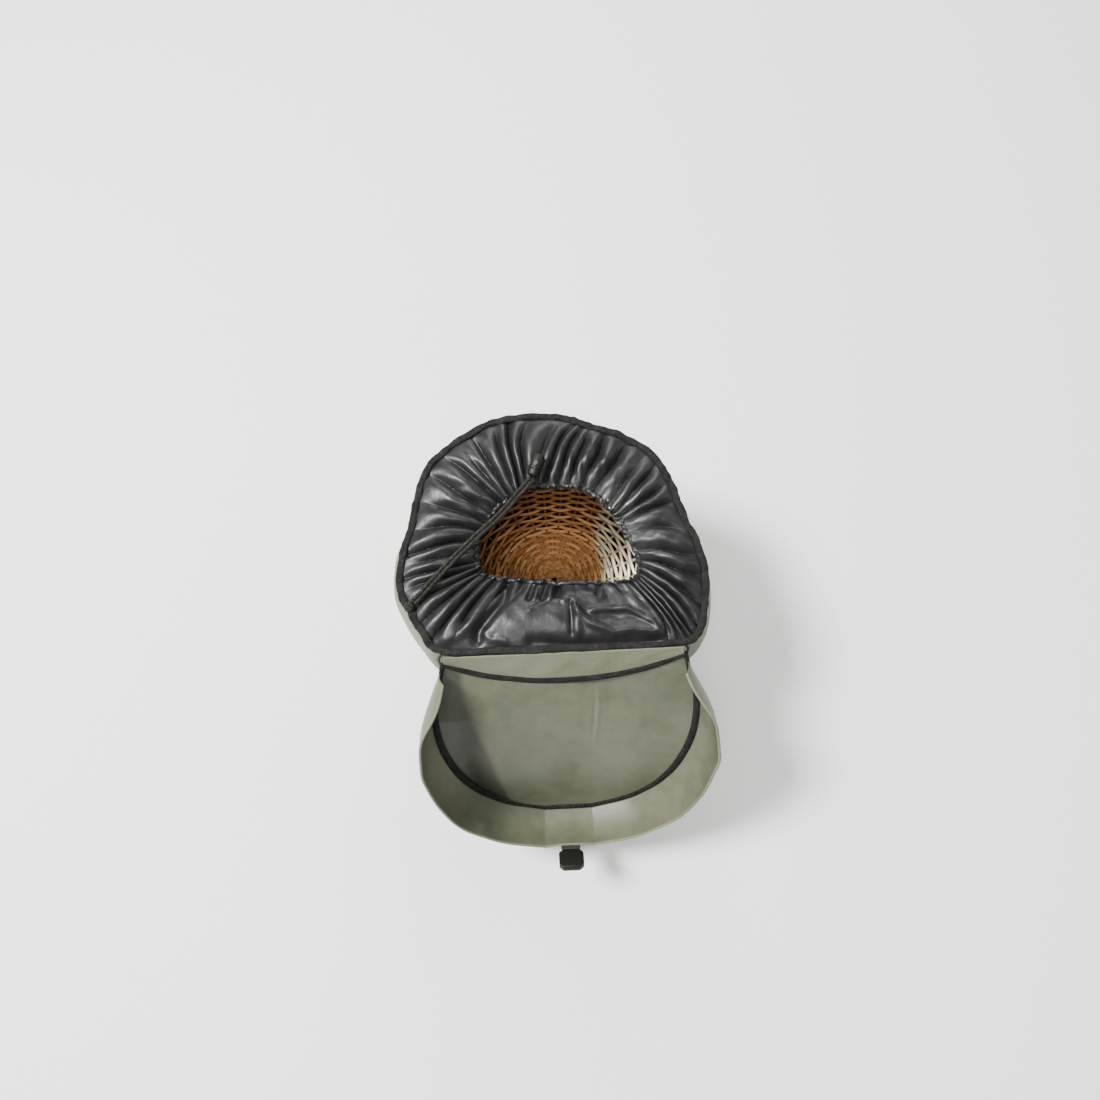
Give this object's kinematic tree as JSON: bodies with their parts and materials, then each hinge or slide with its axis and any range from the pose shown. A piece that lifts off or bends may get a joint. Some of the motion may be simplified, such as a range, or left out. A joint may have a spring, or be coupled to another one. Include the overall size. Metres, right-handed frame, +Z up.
{
  "type": "mushroom foraging backpack",
  "caption": "Olive cloth backpack that carries a woven willow basket, with a gathered drawcord collar, an open lid and padded shoulder straps.",
  "frame": {"origin": "centre of the base's underside, on the surface that the backpack stands on", "axes": "+Z up, -Y towards the wearer's back, +X to the right as the picture shows it"},
  "size_m": [0.3905, 0.5605, 0.3378],
  "materials": {
    "olive_cloth": "satin",
    "olive_coating": "semi-gloss",
    "black_nylon": "glossy",
    "black_binding": "matt woven",
    "cord": "braided",
    "willow": "satin",
    "plastic": "satin",
    "metal": "polished"
  },
  "bodies": {
    "root": {"front_wall": "olive_cloth", "back_panel": "olive_cloth", "bottom_panel": "olive_cloth", "hinge_gusset": "olive_cloth", "lid_wall": "olive_cloth", "shoulder_strap_left": "olive_cloth", "shoulder_strap_right": "olive_cloth", "lid_panel": "olive_coating", "collar": "black_nylon", "collar_hem": "black_nylon", "rim_binding": "black_binding", "lid_binding": "black_binding", "strap_webbing_left": "black_binding", "strap_webbing_right": "black_binding", "haul_loop": "black_binding", "front_strap": "black_binding", "lid_strap": "black_binding", "drawcord_left": "cord", "drawcord_right": "cord", "cord_knot": "cord", "basket_wall": "willow", "basket_bowl": "willow", "basket_floor": "willow", "basket_rim": "willow", "cord_lock": "plastic", "strap_adjuster_left": "plastic", "strap_adjuster_right": "plastic", "front_buckle": "plastic", "lid_buckle": "plastic", "lock_button": "metal"}
  },
  "joints": []
}
